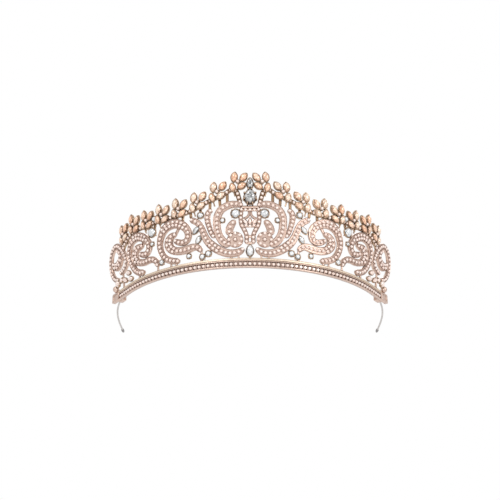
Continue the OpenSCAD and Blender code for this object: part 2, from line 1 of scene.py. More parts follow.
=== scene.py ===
"""Looks for the bridal tiara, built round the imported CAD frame.

Shapes are drawn in millimetres on the unrolled panel, as in the CAD source: s runs along the
band from its middle, h runs up the leaning panel, and out is the distance in front of the
panel's back face. on_panel turns them into metres in the shared frame. What is drawn once for
the +X side is mirrored for the other side.
"""

import math
import random

import bmesh
import bpy
from mathutils import Matrix, Vector


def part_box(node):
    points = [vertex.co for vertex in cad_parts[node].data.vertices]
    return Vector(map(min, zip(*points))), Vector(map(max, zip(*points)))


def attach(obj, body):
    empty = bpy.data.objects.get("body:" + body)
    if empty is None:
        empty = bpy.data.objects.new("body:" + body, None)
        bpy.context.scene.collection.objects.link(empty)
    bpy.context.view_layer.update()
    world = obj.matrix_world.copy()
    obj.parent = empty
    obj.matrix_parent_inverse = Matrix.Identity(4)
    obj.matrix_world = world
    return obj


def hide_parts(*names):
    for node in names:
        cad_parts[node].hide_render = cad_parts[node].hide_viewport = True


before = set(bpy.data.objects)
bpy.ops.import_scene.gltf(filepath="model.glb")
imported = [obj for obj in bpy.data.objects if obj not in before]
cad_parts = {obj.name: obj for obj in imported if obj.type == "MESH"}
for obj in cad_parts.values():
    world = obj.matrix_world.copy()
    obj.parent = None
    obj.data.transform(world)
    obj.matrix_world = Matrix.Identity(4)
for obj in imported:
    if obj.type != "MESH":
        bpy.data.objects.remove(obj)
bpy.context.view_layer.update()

MM = 0.001

# ---------- sizes of the design, in millimetres and degrees ----------

BAND_R = 75
BEND_HALF_ANGLE = 58
END_LENGTH = 10.5
CHANNEL_H = 3.7
RAIL_H = 1.3
LIP_H = 0.6
BAND_CRYSTALS = 73
BAND_CRYSTAL_R = 1
BAND_CRYSTAL_INSET = 1.6
DIVIDER_W = 0.26
LEAN = 7
RIB_DEPTH = 1.4
# Length of one step of a rib's mesh.
RIB_STEP = 0.55
STEM_DEPTH = 1
PAVE_R = 0.85
PAVE_PITCH = 2.2
PAVE_H = 0.82
# How deep a set crystal sits in its rib or cup.
SUNK = 0.2
LEAF_L = 6.2
LEAF_W = 4
SPRIG_PITCH = 9.95
WIRE_R = 0.5
SLEEVE_R = 0.8
SLEEVE_L = 4.8

BAND_BACK = BAND_R - 0.6
BAND_FLOOR = BAND_R + 0.3
BAND_LIP = BAND_R + 1.2
FOOT_H = CHANNEL_H + RAIL_H
BEND_S = BAND_R * math.radians(BEND_HALF_ANGLE)
BAND_S = BEND_S + END_LENGTH
# The middle of the band's front is its lowest y, so the ring's centre follows from the frame.
RING_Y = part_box("band_channel")[0].y / MM + BAND_LIP

# ---------- the pattern, as knots [s, h, width] on the +X side ----------

HEART = [
    (3.4, 32.8, 2.8), (7.6, 33.5, 3.7), (10.9, 32.8, 4), (13.9, 30.9, 4), (15.7, 27.6, 4),
    (16.1, 23.6, 4), (15.8, 19.8, 4), (14.8, 16.4, 4.2), (12.6, 13.4, 4.4), (9.6, 12, 4.2),
]
HEART_BOSS = (7.2, 14.6, 4.2)
HEART_BRANCH = [(9.8, 17, 3.8), (10, 20, 4), (8.8, 22.8, 3.6), (7, 24.8, 2.6)]
HORN = [
    (18.2, 30.9, 2.4), (20, 30.4, 2.8), (20.8, 28, 3), (20.6, 25, 2.9), (19.9, 22, 2.7),
    (19, 19, 2.5), (17.6, 16.4, 2.2),
]
CRADLE = [
    (2.9, 9.9, 2.4), (5.2, 8.2, 3.6), (8.1, 7.5, 4), (11, 7.7, 4.2), (13.6, 8.7, 4.4),
    (16.2, 10.2, 4.6), (18.6, 12.2, 4.6), (20.7, 14.6, 4.2), (22.2, 17.4, 3.8), (23.2, 20.2, 3.5),
    (24.2, 22.8, 3.4), (25.9, 25.4, 3.4), (29.6, 27.8, 3.2),
]
MID = [
    (39, 18.4, 2.4), (36.8, 17, 3.2), (34.2, 16.2, 3.4), (32, 16.9, 3.5), (31, 19.2, 3.7),
    (31.3, 22, 4.1), (33, 24.6, 4.5), (35.8, 26.5, 4.9), (38.9, 27.4, 5.1), (42.2, 26.9, 5),
    (45.2, 25, 4.6), (47, 22, 4), (47.8, 18.8, 3.6), (47.5, 15.4, 3.5), (46.2, 12.2, 3.6),
    (43.8, 9.4, 3.7), (40.4, 7.7, 3.5), (36.4, 6.8, 3),
]
MID_CURL = [
    (37.6, 21.4, 2.4), (40.2, 21, 3.6), (42.1, 19, 4.6), (42.2, 16.3, 5), (40.5, 13.8, 4.6),
    (37.4, 12.3, 4.2), (34, 12, 4.2), (31, 12.3, 4.4), (28.2, 12.8, 3.8), (25.8, 12, 3.3),
    (24.4, 9.8, 3),
]
MID_STEM = [(38.4, 21.4, 1.8), (37.2, 23, 1.5), (36.2, 24.8, 1.8)]
SIDE = [
    (62.4, 17.6, 2.6), (60.2, 16.4, 3.3), (57.8, 15.9, 3.5), (55.8, 17.2, 3.6), (55.1, 20, 3.8),
    (56.5, 23.1, 4.2), (59.6, 25.8, 4.7), (64, 27.4, 5), (68.2, 26.5, 4.7), (70.7, 23.6, 4.1),
    (71.5, 20, 3.7), (70.8, 16.3, 3.6), (69, 12.7, 3.6), (66.2, 9.3, 3.6), (62.8, 7.3, 3.5),
    (59.6, 6.8, 3),
]
SIDE_CURL = [
    (59.4, 21.2, 2.4), (62, 21.2, 3.6), (64.8, 20.6, 4.8), (66.4, 17.5, 5), (65.5, 14.8, 4.8),
    (62.8, 12.9, 4), (59.2, 11.9, 3.7), (55.6, 12, 3.6), (52.6, 11.4, 3.4), (50.6, 9.6, 3.2),
    (49.8, 7, 2.9),
]
SIDE_STEM = [(60, 21, 1.8), (59.6, 23, 1.6), (59.8, 25, 1.8)]
WING = [
    (84.6, 10.4, 2.6), (88.4, 11.9, 3), (91.4, 15.2, 3.3), (92.6, 19.4, 3.4), (92.3, 24, 3.4),
    (90.3, 27.8, 3.4), (86.7, 29.8, 3.4), (82.7, 29, 3.4), (79.1, 25.8, 3.3), (76.3, 21.6, 3.3),
    (74.8, 18, 3.2), (76, 15.3, 3.2), (79, 13.8, 3), (82.6, 13.4, 2.8),
]
WING_CURL = [
    (90, 21.6, 2.2), (88.2, 19.5, 4.2), (85.2, 18.7, 5.6), (82.1, 20.1, 5.6), (80.8, 23, 4.2),
    (82.2, 25.7, 3), (84.4, 26.8, 2.2),
]
LEAF_RAIL = [
    (4.6, 33.8, 2.4), (5.4, 37, 2.4), (6.4, 40.2, 2.4), (8.8, 41.4, 2.4), (11.6, 39.8, 2.4),
    (14.6, 38.2, 2.4), (18.2, 36.9, 2.4), (22.4, 35.2, 2.4), (26.6, 33.6, 2.4), (31, 32, 2.4),
    (36, 31.3, 2.4), (42, 31.1, 2.4), (50, 31.2, 2.4), (57, 31.2, 2.4), (64, 31.3, 2.4),
    (70, 30.4, 2.4), (75, 28, 2.4), (77.8, 25.4, 2.2),
]
COLUMN = [
    (4, 31.4, 2.2), (4.3, 28.4, 2.2), (4.5, 25.4, 2.2), (4.1, 22.6, 2.3), (2.9, 20, 2.3),
    (1.8, 17.4, 2.3), (1.6, 14.8, 2.3), (1.8, 12.4, 2.2),
]
COLUMN_FORK = [(0.5, 30.2, 1.3), (0.5, 28, 1.3), (1.5, 26.4, 1.4), (3.6, 25.4, 1.4)]
# Struts from the leaf rail down to the scrolls: s and h at the rail, then s and h below.
STRUTS = [
    (10.9, 39.9, 10.9, 34), (14.7, 37.8, 14.4, 32), (19.3, 36.2, 19.6, 31),
    (24.4, 34.2, 24.3, 29.8), (29.5, 32.2, 29.4, 28.4), (33.6, 31.4, 34, 27.2), (40, 31, 40, 28.8),
    (50.3, 31, 50.8, 28.4), (64, 31, 64, 28.8), (73.4, 28.8, 71.2, 25.2),
]
STRUT_W = 1.5
# The line that the tips of the sprigs follow: s, h.
CREST = [
    (0, 48), (3, 48.1), (7.4, 48.1), (13, 43.8), (17.4, 43.4), (22.9, 39.5), (27.3, 39.2),
    (32.8, 37), (37.2, 38), (42.8, 36.2), (47.2, 37.4), (52.7, 35.9), (57.1, 37.2), (62.7, 36.8),
    (67.1, 38.5), (72.6, 36.1), (77, 36.2), (84, 32),
]
SPRIGS = 8
FIRST_SPRIG = 7.4
# Leaves of one sprig: along s, above the crest, turn, size.
SPRIG_LEAVES = [
    (0, -0.2, 10, 1), (-4.4, -0.4, 38, 0.98), (0.8, -5.3, -14, 0.92), (-3.5, -5.2, 58, 0.95),
]
# The round crystal in the middle of a sprig: along s, above the crest, radius.
BERRY = (-1.6, -2.9, 0.9)
LEAF_CUP_H = 1.5
# How far in front of the panel's back face the cups stand: pointed ones, round and pear-shaped ones.
CUP_BACK, SETTING_BACK = 0.2, 0.3
# Share of a pointed crystal's outline that its table takes up.
POINTED_TABLE = 0.42
# How much smaller a leaf crystal is than its cup: length, width.
LEAF_RIM = (0.98, 0.7)
# Round clear crystals: s, h, radius, height of the cup.
ACCENTS = [
    (6.9, 28.3, 2.3, 1.3), (20.6, 8.2, 1.5, 1), (23.8, 6.9, 1.4, 1), (24.2, 29, 1.6, 1.1),
    (52, 26, 2.5, 1.5), (50.4, 33, 1.4, 1), (85.5, 8.5, 1.9, 1.3), (30.9, 8.3, 1.2, 1),
    (13.3, 25.1, 1.2, 1), (46.9, 8.4, 1.4, 1), (52.5, 19.8, 1.1, 1), (81.4, 9.2, 1.3, 1),
]
# Pointed clear crystals: s, h, turn.
DROPS = [(26.8, 21.4, 42), (25.6, 16.2, 30), (73.6, 10.8, -70), (71.8, 6.9, -82), (77.4, 8, -60)]
# Sizes of cups and of the crystals in them: length, width.
DROP_CUP, DROP_CUT = (5.8, 3.1), (4.9, 2.4)
FAN_CUP, FAN_CUT = (4.8, 2.3), (4, 1.7)
TOP_CUP, TOP_CUT = (6.8, 4.1), (6, 3.4)
BOTTOM_CUP, BOTTOM_CUT = (6.9, 4.5), (6.1, 3.8)
# How much narrower a pear is at its top.
PEAR_TAPER = 0.25
# Accent crystals beyond this s are pale pink, as near the wings.
PALE_FROM = 70
# Cross bars of the column: h, length.
COLUMN_BARS = [(31.9, 8.4), (30.3, 8.6), (21.7, 7.6), (16.2, 3.4), (12.8, 3.6)]
# Crystals on the cross bars: s, h.
BAR_CRYSTALS = [(0, 30.3), (2.1, 30.3), (0, 21.5), (1.9, 21.9)]
# Fan of leaves in the column: s, h, turn.
FAN_LEAVES = [(0, 24, 0), (2.3, 23.9, -38)]
COLUMN_DEPTH = 1.2
COLUMN_CRYSTAL_R = 0.8
COLUMN_PITCH = 2.1
CENTRE_H = 37.1
CENTRE_L = 8.8
CENTRE_W = 7
CENTRE_TAPER = 0.3
CENTRE_RIM = 0.9
CLAWS = 8
TOP_CRYSTAL_H = 44.4
DROP_CRYSTAL_H = 8.6
# Comb wires in the plane of the band: x, and y from 31 mm in front of the ring's centre.
WIRE = [(68.7, 0.4), (70.8, 8), (72.6, 18), (73.4, 28), (73.4, 38), (72.9, 48.4)]
WIRE_Y = RING_Y - 31
# The scrolls of one side: each group of crystals, with the nodes that it sits on. A node has ribs and
# feet. A rib is its knots and how far from its ends the crystals start, or None for a plain thin stem.
# A foot is its s and the height it reaches.
SCROLLS = [
    ("heart_crystals", [("heart_scroll", [(HEART, 0.9), (HEART_BRANCH, 1.8)], [])]),
    ("cradle_crystals", [
        ("cradle_scroll", [(CRADLE, 0.9)], [(9.2, 6.4), (5.6, 7)]),
        ("horn", [(HORN, 0.9)], []),
    ]),
    ("mid_crystals", [
        ("mid_scroll", [(MID, 0.9)], [(38.4, 6.4), (41.6, 7.2)]),
        ("mid_curl", [(MID_CURL, 0.9), (MID_STEM, None)], [(24.4, 9.8)]),
    ]),
    ("side_crystals", [
        ("side_scroll", [(SIDE, 0.9)], [(64, 6.8)]),
        ("side_curl", [(SIDE_CURL, 0.9), (SIDE_STEM, None)], [(50, 7.4)]),
    ]),
    ("wing_crystals", [("wing", [(WING, 0.9), (WING_CURL, 0.9)], [(80, 14.2)])]),
]
# How far a facet's painted glint may stray from the one that its place in the cut gives it.
GLINT_SPREAD = 0.3

# ---------- the curved surface ----------


def on_panel(s, h, out=0.0, tilt=LEAN):
    """The point of the panel at s, h and out, in metres."""
    bent = min(max(s, -BEND_S), BEND_S)
    a = bent / BAND_R
    e = s - bent
    t = math.radians(tilt)
    r = BAND_R + h * math.sin(t) + out * math.cos(t)
    x = r * math.sin(a) + e * math.cos(a)
    y = RING_Y - r * math.cos(a) + e * math.sin(a)
    return Vector((x, y, h * math.cos(t) - out * math.sin(t))) * MM


def at_panel(s, h, out=0.0, tilt=LEAN, spin=0.0):
    """Matrix from a piece's own millimetres to its place: x along s, y up the panel, z outwards."""
    a = min(max(s, -BEND_S), BEND_S) / BAND_R
    return (
        Matrix.Translation(on_panel(s, h, out, tilt))
        @ Matrix.Rotation(a, 4, "Z")
        @ Matrix.Rotation(math.radians(90 + tilt), 4, "X")
        @ Matrix.Rotation(math.radians(spin), 4, "Z")
        @ Matrix.Scale(MM, 4)
    )


# ---------- curves ----------


def smooth(knots, steps=8):
    """Points of a smooth curve through the knots."""
    k = [knots[0], *knots, knots[-1]]
    made = []
    for a, b, c, d in zip(k, k[1:], k[2:], k[3:]):
        for j in range(steps):
            t = j / steps
            made.append(tuple(
                0.5 * (2 * q + (r - p) * t + (2 * p - 5 * q + 4 * r - w) * t * t
                       + (3 * q - p - 3 * r + w) * t ** 3)
                for p, q, r, w in zip(a, b, c, d)
            ))
    return made + [tuple(knots[-1])]


def even(knots, pitch, inset=0.0):
    """The curve through the knots at even steps of about the given pitch."""
    path = smooth(knots)
    run = [0.0]
    for a, b in zip(path, path[1:]):
        run.append(run[-1] + math.dist(a[:2], b[:2]))
    full = run[-1] - 2 * inset
    n = max(1, round(full / pitch))
    made = []
    j = 0
    for i in range(n + 1):
        d = inset + full * i / n
        while j < len(run) - 2 and run[j + 1] <= d:
            j += 1
        u = (d - run[j]) / (run[j + 1] - run[j])
        made.append(tuple(p + (q - p) * u for p, q in zip(path[j], path[j + 1])))
    return made


def across(path, i):
    """Unit vector square to the path at point i, in the panel."""
    a, b = path[max(i - 1, 0)], path[min(i + 1, len(path) - 1)]
    n = math.dist(a[:2], b[:2])
    return (a[1] - b[1]) / n, (b[0] - a[0]) / n


def crest(s):
    """How high the tips of the sprigs reach at s."""
    path = smooth(CREST)
    for a, b in zip(path, path[1:]):
        if a[0] <= s <= b[0]:
            return a[1] + (b[1] - a[1]) * (s - a[0]) / (b[0] - a[0])
    return CREST[-1][1]


def leaves():
    """Each leaf of one side: s, h, turn, size."""
    for i in range(SPRIGS):
        for ds, dh, spin, size in SPRIG_LEAVES:
            s = FIRST_SPRIG + i * SPRIG_PITCH + ds
            yield s, crest(s) + dh, spin, size


def round_outline(r):
    """A circle, as a function of how far round it a point is, from 0 to 1."""
    return lambda t: (r * math.cos(2 * math.pi * t), r * math.sin(2 * math.pi * t))


def marquise(length, width):
    """Outline of two arcs that meet in a point at each end, starting at its lower point."""
    r = (length ** 2 + width ** 2) / (4 * width)
    half = math.asin(length / 2 / r)

    def outline(t):
        turned = t % 1 >= 0.5
        a = -half + 4 * half * (t % 0.5)
        x, y = r * math.cos(a) - r + width / 2, r * math.sin(a)
        return (-x, -y) if turned else (x, y)

    return outline


def pear(length, width, taper):
    """Outline with its narrow end at +y, starting at its lower end."""

    def outline(t):
        a = 2 * math.pi * t - math.pi / 2
        y = math.sin(a)
        return width / 2 * math.cos(a) * (1 - taper * max(0, y)), length / 2 * y

    return outline


# ---------- building blocks ----------


class Shape:
    """Vertices in metres and faces. A face has a finish, smooth or flat shading, and a painted glint."""

    def __init__(self):
        self.verts, self.faces = [], []
        self.finish, self.soft, self.glint, self.stone = [], [], [], []
        self.count = 0

    def add(self, verts, faces, place=None, finish=0, soft=True, glint=None):
        """Adds faces that share one tint. A place carries the vertices from millimetres to metres."""
        base = len(self.verts)
        if place is not None:
            verts = [place @ Vector(v) for v in verts]
        self.verts += [tuple(v) for v in verts]
        self.faces += [[base + i for i in f] for f in faces]
        self.finish += finish if isinstance(finish, list) else [finish] * len(faces)
        self.soft += [soft] * len(faces)
        self.glint += glint or [0.5] * len(faces)
        self.stone += [self.count] * len(faces)
        self.count += 1

    def piece(self, name, finishes, slot, replaced, flip=False):
        """Makes the object, and hides the CAD parts that it stands in for."""
        mesh = bpy.data.meshes.new(name)
        mesh.from_pydata([(-x if flip else x, y, z) for x, y, z in self.verts], [], self.faces)
        for m in finishes:
            mesh.materials.append(m)
        mesh.polygons.foreach_set("material_index", self.finish)
        mesh.polygons.foreach_set("use_smooth", self.soft)
        rng = random.Random(name)
        tints = [rng.random() for _ in range(self.count)]
        # Each facet's painted glint, spread at random about the one that its place in the cut gives it.
        glints = [
            min(1.0, max(0.0, g + rng.uniform(-GLINT_SPREAD, GLINT_SPREAD))) for g in self.glint
        ]
        mesh.attributes.new("glint", "FLOAT", "FACE").data.foreach_set("value", glints)
        mesh.attributes.new("tint", "FLOAT", "FACE").data.foreach_set(
            "value", [tints[i] for i in self.stone]
        )
        bm = bmesh.new()
        bm.from_mesh(mesh)
        bmesh.ops.recalc_face_normals(bm, faces=bm.faces)
        bm.to_mesh(mesh)
        bm.free()
        mesh.set_sharp_from_angle(angle=math.radians(50))
        obj = bpy.data.objects.new(name, mesh)
        bpy.context.scene.collection.objects.link(obj)
        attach(obj, "root")
        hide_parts(*replaced)


def skin(rings):
    """Faces between rings of the same number of points, with a cap at each end."""
    n = len(rings[0])
    verts = [v for ring in rings for v in ring]
    faces = []
    for i in range(len(rings) - 1):
        for j in range(n):
            k = (j + 1) % n
            faces.append([i * n + j, i * n + k, (i + 1) * n + k, (i + 1) * n + j])
    faces.append(list(range(n))[::-1])
    faces.append([(len(rings) - 1) * n + j for j in range(n)])
    return verts, faces


def ring_of(outline, n, scale, z):
    """The outline as n points at height z, scaled about its middle."""
    made = []
    for i in range(n):
        x, y = outline(i / n)
        made.append((x * scale, y * scale, z))
    return made


def tray(shape, outline, levels, place, n):
    """A shallow cup on an outline. Levels are [scale, z] from its back to its inner floor."""
    verts, faces = skin([ring_of(outline, n, k, z) for k, z in levels])
    # The inner floor gets the second finish, the recess copy of the metal, darker as painted shade.
    shape.add(verts, faces, place, finish=[0] * (len(faces) - 1) + [1])


def cup_levels(h, lip=0.1):
    """Levels of a tray of height h with a rolled rim."""
    return [
        (0.78, 0), (0.94, 0.1 * h), (1, 0.35 * h), (1, h - 0.15), (1 - 0.3 * lip, h),
        (1 - lip, h + 0.03), (1 - 1.8 * lip, h - 0.06), (1 - 2.2 * lip, h - 0.3),
    ]


def cut(shape, outline, h, place, n=8, table=0.6, split=False):
    """A cut crystal: girdle, girdle facets, kites, stars and table.

    A split table is a low dome of small facets whose painted glints are light and deep in turn.
    """
    m = 2 * n
    low = ring_of(outline, m, 0.97, 0)
    girdle = ring_of(outline, m, 1, 0.28 * h)
    verts = low + girdle
    for i in range(n):
        x, y = outline((i + 0.5) / n)
        verts.append((0.84 * x, 0.84 * y, 0.66 * h))
    for i in range(n):
        x, y = outline(i / n)
        verts.append((table * x, table * y, h))
    kite, top = 2 * m, 2 * m + n
    # Painted glints: the girdle deepest, kites and stars lighter, the table lightest, as if lit from
    # above.
    faces, glint = [list(range(m))[::-1]], [0.2]
    for i in range(m):
        j = (i + 1) % m
        faces.append([i, j, m + j, m + i])
        glint.append(0.2)
    for i in range(n):
        a, b, c, j = m + 2 * i, m + 2 * i + 1, m + (2 * i + 2) % m, (i + 1) % n
        faces += [[a, b, kite + i], [b, c, kite + i], [c, kite + j, top + j, kite + i]]
        faces.append([kite + i, top + j, top + i])
        glint += [0.4, 0.4, 0.68, 0.78]
    if split:
        inner = len(verts)
        for i in range(n):
            x, y = outline((i + 0.5) / n)
            verts.append((0.55 * table * x, 0.55 * table * y, 1.02 * h))
        verts.append((0, 0, 1.03 * h))
        for i in range(n):
            j = (i + 1) % n
            faces += [
                [top + i, top + j, inner + i], [top + j, inner + j, inner + i],
                [inner + i, inner + j, inner + n],
            ]
            glint += [0.85, 0.25, 0.8 if i % 2 else 0.2]
    else:
        faces.append([top + i for i in range(n)])
        glint.append(0.88)
    shape.add(verts, faces, place, soft=False, glint=glint)


def circle(n):
    """The angles of n points round a circle."""
    return [2 * math.pi * i / n for i in range(n)]


def bead(shape, place, x, y, z, r):
    """A small round grain of metal that holds a crystal."""
    rings = [
        [(x + k * r * math.cos(a), y + k * r * math.sin(a), z + d * r) for a in circle(6)]
        for k, d in ((0.9, -1), (1, 0), (0.8, 0.6), (0.35, 0.95))
    ]
    shape.add(*skin(rings), place)


def tube(shape, points, radii, place=None, sides=12):
    """A round bar along points, with a radius at each."""
    pts = [Vector(p) for p in points]
    side = None
    rings = []
    for i, p in enumerate(pts):
        along = (pts[min(i + 1, len(pts) - 1)] - pts[max(i - 1, 0)]).normalized()
        if side is None:
            side = along.orthogonal().normalized()
        side = (side - along * side.dot(along)).normalized()
        other = along.cross(side)
        rings.append([
            p + (side * math.cos(a) + other * math.sin(a)) * radii[i] for a in circle(sides)
        ])
    shape.add(*skin(rings), place)


def lathe(shape, profile, place, sides=24, floor=0):
    """A turned shape from [radius, z] points. Its last cap, the floor of a cup, has its own finish: where
    floor is 1, the recess copy of the metal, darker as painted shade.
    """
    verts, faces = skin([ring_of(round_outline(1), sides, r, z) for r, z in profile])
    shape.add(verts, faces, place, finish=[0] * (len(faces) - 1) + [floor])


def rib_section(w, depth):
    """Half of a rib's section from its back to the inside of its raised edge, then the other half."""
    half = w / 2
    edge = min(0.32, 0.36 * half)
    side = [
        (half - 0.22, 0), (half - 0.06, 0.08), (half, 0.3), (half, 0.7 * depth),
        (half - 0.2 * edge, depth - 0.08), (half - 0.55 * edge, depth + 0.02),
        (half - edge, depth - 0.06), (half - 1.2 * edge, depth - 0.28),
    ]
    return side + [(-x, y) for x, y in reversed(side)]


def rib(shape, knots, depth=RIB_DEPTH, back=0.0):
    """A channel-shaped rib along the knots, with rounded ends."""
    path = even(knots, RIB_STEP)
    length = (len(path) - 1) * math.dist(path[0][:2], path[1][:2])
    rings = []
    for i, (s, h, w) in enumerate(path):
        ax, ay = across(path, i)
        # The distance to the nearer end rounds the rib off there.
        d = min(i, len(path) - 1 - i) * length / (len(path) - 1)
        end = min(1.0, d / (0.5 * w))
        w = w * max(0.45, math.sqrt(1 - (1 - end) ** 2))
        rings.append([on_panel(s + ax * x, h + ay * x, back + y) for x, y in rib_section(w, depth)])
    verts, faces = skin(rings)
    n = len(rings[0])
    # The faces between the two halves of the section are the floor of the channel. They get the recess
    # copy of the metal, darker as painted shade.
    finish = [1 if f < len(faces) - 2 and f % n == n // 2 - 1 else 0 for f in range(len(faces))]
    shape.add(verts, faces, finish=finish)


def pave(metal, stones, knots, inset, out=RIB_DEPTH, r=PAVE_R, pitch=PAVE_PITCH):
    """Rows of small crystals along a rib, with grains of metal between them."""
    path = even(knots, pitch, inset)
    for i, (s, h, w) in enumerate(path):
        ax, ay = across(path, i)
        usable = 0.72 * w + 0.2
        n = max(1, math.floor(usable / (2 * r)))
        gap = 2.08 * r
        for j in range(n):
            q = (j - (n - 1) / 2) * gap
            cut(stones, round_outline(r), PAVE_H, at_panel(s + ax * q, h + ay * q, out - SUNK), n=6)
        if i == len(path) - 1:
            continue
        s2, h2, _ = path[i + 1]
        for j in range(n + 1):
            q = (j - n / 2) * gap * (0.86 if j in (0, n) else 1)
            between = at_panel((s + s2) / 2 + ax * q, (h + h2) / 2 + ay * q, out)
            bead(metal, between, 0, 0, 0, 0.3 * r)


def foot(shape, s, top):
    """A waisted post that stands on the rail and reaches up the panel to top, sunk a little at both."""
    low, high = FOOT_H - 0.1, top + 0.1
    w, depth, back, corner, steps = 1.3, RIB_DEPTH - 0.4, 0.1, 0.2, 6
    rings = []
    for i in range(steps + 1):
        t = i / steps
        half = w / 2 * (1 - 0.3 * math.sin(math.pi * t))
        edge = half - corner
        section = [
            (edge, 0), (half, corner), (half, depth - corner), (edge, depth),
            (-edge, depth), (-half, depth - corner), (-half, corner), (-edge, 0),
        ]
        rings.append([on_panel(s + x, low + (high - low) * t, back + y) for x, y in section])
    shape.add(*skin(rings))


def claw(shape, place, x, y, low, high, reach, r):
    """A claw that rises at x, y and bends inwards over a crystal by reach."""
    d = math.hypot(x, y)
    ux, uy = x / d, y / d
    line = [
        (0, low), (0.05, low + 0.6 * (high - low)), (0, high - 0.35), (-0.5 * reach, high - 0.05),
        (-reach, high),
    ]
    points = [(x + ux * k, y + uy * k, z) for k, z in line]
    tube(shape, points, [r, r, r, 0.95 * r, 0.5 * r], place, sides=8)


def along_band(shape, profile, recess=()):
    """Runs a profile of [radius, height] points along the whole band.

    The sides of the profile that recess names have the second finish, the recess copy of the metal, a
    little darker as painted shade.
    """
    steps = 150
    rings = [
        [on_panel(-BAND_S + 2 * BAND_S * i / steps, z, r - BAND_R, 0) for r, z in profile]
        for i in range(steps + 1)
    ]
    verts, faces = skin(rings)
    n = len(profile)
    finish = [1 if f < len(faces) - 2 and f % n in recess else 0 for f in range(len(faces))]
    shape.add(verts, faces, finish=finish)


def softened(name, node, width, finishes, out=None):
    """A CAD node's own shape with its edges rounded.

    The floor of a recess that opens towards out gets the second finish.
    """
    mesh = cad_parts[node].data.copy()
    bm = bmesh.new()
    bm.from_mesh(mesh)
    bmesh.ops.remove_doubles(bm, verts=bm.verts, dist=1e-6)
    bmesh.ops.dissolve_limit(bm, angle_limit=math.radians(2), verts=bm.verts, edges=bm.edges)
    inner = [e for e in bm.edges if len(e.link_faces) == 2]
    sharp = [e for e in inner if e.calc_face_angle() > math.radians(25)]
    bmesh.ops.bevel(bm, geom=sharp, offset=width * MM, segments=3, profile=0.5, affect="EDGES")
    bmesh.ops.recalc_face_normals(bm, faces=bm.faces)
    for f in bm.faces:
        f.smooth = True
    if out is not None:
        facing = [(f, f.calc_center_median().dot(out)) for f in bm.faces if f.normal.dot(out) > 0.95]
        front = max(d for f, d in facing)
        for f, d in facing:
            f.material_index = 1 if d < front - 0.3 * MM else 0
    bm.to_mesh(mesh)
    bm.free()
    mesh.materials.clear()
    for m in finishes:
        mesh.materials.append(m)
    mesh.set_sharp_from_angle(angle=math.radians(40))
    obj = bpy.data.objects.new(name, mesh)
    bpy.context.scene.collection.objects.link(obj)
    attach(obj, "root")
    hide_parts(node)


# ---------- materials ----------


def new_material(name):
    """A new material, with its nodes, its links and its surface shader."""
    mat = bpy.data.materials.new(name)
    mat.use_nodes = True
    nodes, links = mat.node_tree.nodes, mat.node_tree.links
    return mat, nodes, links, nodes["Principled BSDF"]


def noise(nodes, links, coords, scale, detail=3.0):
    n = nodes.new("ShaderNodeTexNoise")
    n.inputs["Scale"].default_value = scale
    n.inputs["Detail"].default_value = detail
    links.new(coords, n.inputs["Vector"])
    return n.outputs["Fac"]


def ramp(nodes, links, value, stops):
    r = nodes.new("ShaderNodeValToRGB")
    els = r.color_ramp.elements
    while len(els) < len(stops):
        els.new(0.5)
    for el, (pos, colour) in zip(els, stops):
        el.position = pos
        el.color = (*colour, 1)
    links.new(value, r.inputs["Fac"])
    return r.outputs["Color"]


def metal(name, shade_tone, mid, bright, rough, dent=0.25):
    """Polished plated metal: mottled tone, worn sheen, fine dents, and painted shade in corners and gaps.
    """
    mat, nodes, links, bsdf = new_material(name)
    coords = nodes.new("ShaderNodeTexCoord").outputs["Object"]
    tone = ramp(nodes, links, noise(nodes, links, coords, 900, 4), [(0.25, mid), (0.7, bright)])
    # Painted shade: where ambient occlusion finds parts within about a millimetre, the colour turns
    # towards the shade tone.
    corner = nodes.new("ShaderNodeAmbientOcclusion")
    corner.samples = 6
    corner.inputs["Distance"].default_value = 0.0011
    depth = nodes.new("ShaderNodeMapRange")
    depth.inputs["From Min"].default_value = 0.15
    depth.inputs["From Max"].default_value = 0.85
    links.new(corner.outputs["AO"], depth.inputs["Value"])
    mix = nodes.new("ShaderNodeMix")
    mix.data_type = "RGBA"
    links.new(depth.outputs["Result"], mix.inputs["Factor"])
    mix.inputs[6].default_value = (*shade_tone, 1)
    links.new(tone, mix.inputs[7])
    links.new(mix.outputs[2], bsdf.inputs["Base Color"])
    bsdf.inputs["Metallic"].default_value = 1.0
    worn = nodes.new("ShaderNodeMapRange")
    worn.inputs["To Min"].default_value = rough * 0.7
    worn.inputs["To Max"].default_value = rough * 1.4
    links.new(noise(nodes, links, coords, 2600), worn.inputs["Value"])
    links.new(worn.outputs["Result"], bsdf.inputs["Roughness"])
    bump = nodes.new("ShaderNodeBump")
    bump.inputs["Strength"].default_value = dent
    bump.inputs["Distance"].default_value = 0.00006
    links.new(noise(nodes, links, coords, 1500, 2), bump.inputs["Height"])
    links.new(bump.outputs["Normal"], bsdf.inputs["Normal"])
    return mat


